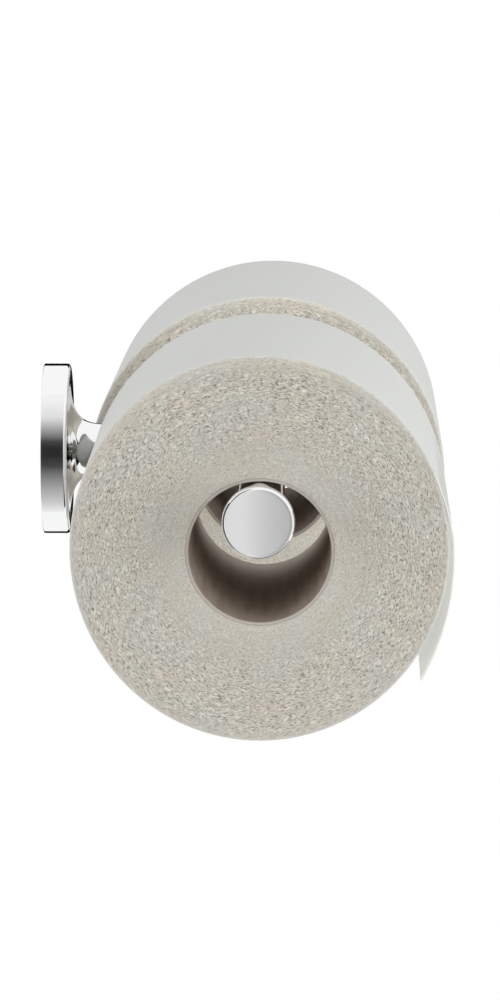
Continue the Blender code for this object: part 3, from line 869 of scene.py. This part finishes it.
FLOOR_Z = -0.75
FLOOR_HALF = 2.0
RIM_CARD_R = 0.5
RIM_CARD_Y = (-0.003, 0.25)
CAP_CARD_X = -0.54
CAP_CARD_Y = (-0.03, -0.12)
CAP_CARD_Z = (-0.16, 0.02)
CAP_CARD_RUN = (-0.045, -0.085)
DARK_CARD_X = (-1.2, -0.13)
DARK_CARD_BEND = ((0.55, 0.30), (0.55, -0.60), (-0.80, -0.60))
ROOM_FLAG_X = (-0.20, 0.75)
ROOM_FLAG_Y = -0.90
ROOM_FLAG_Z = (-0.45, 0.16)
FAR_FLAG_X = 0.986
FAR_FLAG_WALL_SIDE = 0.60
FAR_FLAGS = (
    ("upper", -0.30, -0.10, 0.36),
    ("middle", -0.075, -0.24, -0.10),
    ("lower", -0.30, -0.70, -0.24),
)


def camera():
    """Looks along +X, turned a little towards the wall and down, as the photograph was taken."""
    ahead = Vector((
        math.cos(CAMERA_PITCH) * math.cos(CAMERA_YAW),
        math.cos(CAMERA_PITCH) * math.sin(CAMERA_YAW),
        -math.sin(CAMERA_PITCH),
    ))
    right = Vector((math.sin(CAMERA_YAW), -math.cos(CAMERA_YAW), 0.0))
    up = right.cross(ahead)
    turn = Matrix((right, up, -ahead)).transposed().to_4x4()
    data = bpy.data.cameras.new("camera")
    data.sensor_fit = "AUTO"
    data.sensor_width = SENSOR
    data.lens = FOCAL_SHARE * SENSOR
    data.clip_start = 0.05
    data.clip_end = 50.0
    obj = bpy.data.objects.new("camera", data)
    obj.matrix_world = Matrix.Translation(CAMERA_PLACE) @ turn
    bpy.context.scene.collection.objects.link(obj)
    bpy.context.scene.camera = obj


def soft_light(name, place, aim, size, watts):
    """A square lamp at place that faces aim. Mirrors do not show it."""
    data = bpy.data.lights.new(name, "AREA")
    data.shape = "SQUARE"
    data.size = size
    data.energy = watts
    obj = bpy.data.objects.new(name, data)
    direction = Vector(aim) - Vector(place)
    turn = direction.to_track_quat("-Z", "Y").to_matrix().to_4x4()
    obj.matrix_world = Matrix.Translation(place) @ turn
    obj.visible_glossy = False
    bpy.context.scene.collection.objects.link(obj)


def world(level):
    """White where the camera or a mirror sees it, and a plain soft level for everything else."""
    made = bpy.data.worlds.new("studio")
    made.use_nodes = True
    tree = made.node_tree
    background = tree.nodes["Background"]
    background.inputs["Color"].default_value = (1.0, 1.0, 1.0, 1.0)
    path = tree.nodes.new("ShaderNodeLightPath")
    seen = path.outputs["Is Camera Ray"]
    for word in ("Is Glossy Ray", "Is Transmission Ray"):
        either = tree.nodes.new("ShaderNodeMath")
        either.operation = "MAXIMUM"
        tree.links.new(seen, either.inputs[0])
        tree.links.new(path.outputs[word], either.inputs[1])
        seen = either.outputs[0]
    strength = tree.nodes.new("ShaderNodeMapRange")
    strength.inputs["To Min"].default_value = level
    strength.inputs["To Max"].default_value = 1.0
    tree.links.new(seen, strength.inputs["Value"])
    tree.links.new(strength.outputs[0], background.inputs["Strength"])
    bpy.context.scene.world = made


def glow_card(name, points, colour_stops, coordinate):
    """A studio card that only mirrors see, whose light runs through stops along a coordinate."""
    finish = Finish(name, roughness=1.0)
    x, y, z = finish.place()
    share = coordinate(x, y, z)
    glow = finish.add("ShaderNodeValToRGB", {"stops": colour_stops}, {0: share})
    emission = finish.add("ShaderNodeEmission", None, {"Color": glow, "Strength": 1.0})
    output = finish.tree.nodes["Material Output"]
    finish.tree.links.new(emission.socket, output.inputs["Surface"])
    obj = piece(name, [(points, False, False)], finish.material, None)
    for ray in ("camera", "diffuse", "shadow", "transmission", "volume_scatter"):
        setattr(obj, f"visible_{ray}", False)
    return obj


def grey(level):
    """The linear grey of a level from 0 to 255 as a screen shows it."""
    return (((level / 255.0 + 0.055) / 1.055) ** 2.4,) * 3


def floor_finish():
    """Pale and matt. It fades into the white round it, and mirrors see it as white."""
    finish = Finish("floor", roughness=1.0, specular_ior_level=0.0)
    x, y, z = finish.place()
    cloud = finish.noise(finish.vector(x, y, z), scale=2.0)
    finish.wear(base_color=finish.blend(cloud, (0.85, 0.85, 0.85), (0.87, 0.87, 0.87)))
    path = finish.add("ShaderNodeLightPath").socket.node
    seen = Value(finish, path.outputs["Is Camera Ray"])
    mirrored = Value(finish, path.outputs["Is Glossy Ray"])
    far = (x * x + y * y).math("SQRT").over(0.9, 1.9)
    white = finish.add("ShaderNodeEmission", None, {"Color": (1.0, 1.0, 1.0), "Strength": 1.0})
    share = seen * (0.35 + far * 0.65) + mirrored
    finish.mix_shaders(share, white)
    return finish.material


def flag(name, points):
    """A black card that only mirrors see, which draws the dark lines in the plating."""
    black = ((0.0, grey(10)), (1.0, grey(10)))
    glow_card(name, points, black, lambda x, y, z: x)


def upright_flag(name, ends, low, high):
    """A flag between two places (x, y), from low to high."""
    flag(name, np.array([[(*end, low), (*end, high)] for end in ends]))


def lamps():
    aim = (0.0, -0.07, 0.0)
    soft_light("overhead", (0.1, -0.35, 1.5), aim, 1.8, 5.0)
    soft_light("key", (-1.25, -1.45, 0.35), aim, 1.2, 16.0)
    soft_light("wall_fill", (-1.1, 1.4, 0.3), aim, 1.2, 11.0)


def rim_card():
    """A cylinder round the Y axis, whose dark band the rosette's rim mirrors."""
    rise = np.radians(np.linspace(-85.0, 85.0, 60))[:, None]
    y = np.array(RIM_CARD_Y)[None, :]
    x = -RIM_CARD_R * np.cos(rise) + 0 * y
    cove = np.stack([x, y + 0 * rise, RIM_CARD_R * np.sin(rise) + 0 * y], axis=-1)
    stops = (
        (0.03, grey(245)),
        (0.12, grey(210)),
        (0.32, grey(140)),
        (0.42, grey(70)),
        (0.50, grey(45)),
        (0.55, grey(45)),
        (0.60, grey(70)),
        (0.68, grey(160)),
        (0.78, grey(230)),
        (0.92, grey(250)),
    )

    def rise_share(x, y, z):
        return (z / RIM_CARD_R).math("ARCSINE") / math.pi + 0.5

    glow_card("rim_card", cove, stops, rise_share)


def cap_card():
    """A flat card ahead, mirrored by the near cap's face: paler towards the wall."""
    near, far = CAP_CARD_Y
    low, high = CAP_CARD_Z
    start, end = CAP_CARD_RUN
    corners = np.array([
        [(CAP_CARD_X, near, low), (CAP_CARD_X, near, high)],
        [(CAP_CARD_X, far, low), (CAP_CARD_X, far, high)],
    ])
    bands = ((0.2, grey(225)), (0.35, grey(230)), (0.6, grey(203)), (0.95, grey(175)))
    glow_card("cap_card", corners, bands, lambda x, y, z: (y - start) / (end - start))


def dark_side_card():
    """An L of card on the wall side and below, darkest level with the near cap."""
    bend = np.array(DARK_CARD_BEND)
    start, end = DARK_CARD_X
    x = np.array([start, end])[None, :]
    panel = np.stack([x + 0 * bend[:, :1], bend[:, :1] + 0 * x, bend[:, 1:] + 0 * x], axis=-1)
    fall = ((0.0, grey(205)), (0.55, grey(110)), (0.8, grey(30)), (1.0, grey(8)))
    glow_card("dark_side_card", panel, fall, lambda x, y, z: (x - start) / (end - start))


def studio():
    camera()
    world(0.60)
    lamps()
    half = FLOOR_HALF
    corners = np.array([
        [(-half, -half, FLOOR_Z), (half, -half, FLOOR_Z)],
        [(-half, half, FLOOR_Z), (half, half, FLOOR_Z)],
    ])
    piece("floor", [(corners, False, False)], floor_finish(), None)
    rim_card()
    cap_card()
    for word, room_side, low, high in FAR_FLAGS:
        ends = ((FAR_FLAG_X, room_side), (FAR_FLAG_X, FAR_FLAG_WALL_SIDE))
        upright_flag(f"far_{word}_flag", ends, low, high)
    dark_side_card()
    room_ends = [(x, ROOM_FLAG_Y) for x in ROOM_FLAG_X]
    upright_flag("room_flag", room_ends, *ROOM_FLAG_Z)


# All together


chrome = polished_chrome()
rosette(chrome)
crossbar(chrome)
end_cap("front", -1.0, chrome)
end_cap("rear", 1.0, chrome)

zinc = zinc_plating()
steel = screw_steel()
for node in ("wall_plate", "bolt_washer"):
    frame["nodes"][node].material_slots[0].material = zinc
for node in ("grub_screw", "arm_bolt", "locating_pin", "cap_stud_front", "cap_stud_rear"):
    frame["nodes"][node].material_slots[0].material = steel

card = kraft_card("core_card", -WALL_TO_BAR, ROLL_AXIS_Z)
core("front", FRONT_ROLL_X, card)
core("rear", REAR_ROLL_X, card)
paper = tissue("soft_paper", -WALL_TO_BAR, ROLL_AXIS_Z)
wound_paper("front", FRONT_ROLL_X, TAIL_ROOT, FRONT_ENDS, paper, 3)
# The rear roll's paper is the front's, painted lighter on its end faces and lightest near the
# core: painted light for the shade between the rolls.
rear_paper = tissue("soft_paper_painted_lighter", -WALL_TO_BAR, ROLL_AXIS_Z, painted_end_light=1.3, painted_inner_light=0.4)
wound_paper("rear", REAR_ROLL_X, REAR_STEP, REAR_ENDS, rear_paper, 5)
# Painted light: the loose sheet is the roll's paper painted much lighter, for its shaded
# underside; it also lets light through by its Translucent shader.
sheet_paper = tissue(
    "loose_paper_painted_lighter",
    -WALL_TO_BAR,
    ROLL_AXIS_Z,
    side=(0.932, 0.932, 0.912),
    lets_through=0.6,
)
loose_tail(sheet_paper)

studio()
bpy.context.scene.view_settings.view_transform = "Standard"
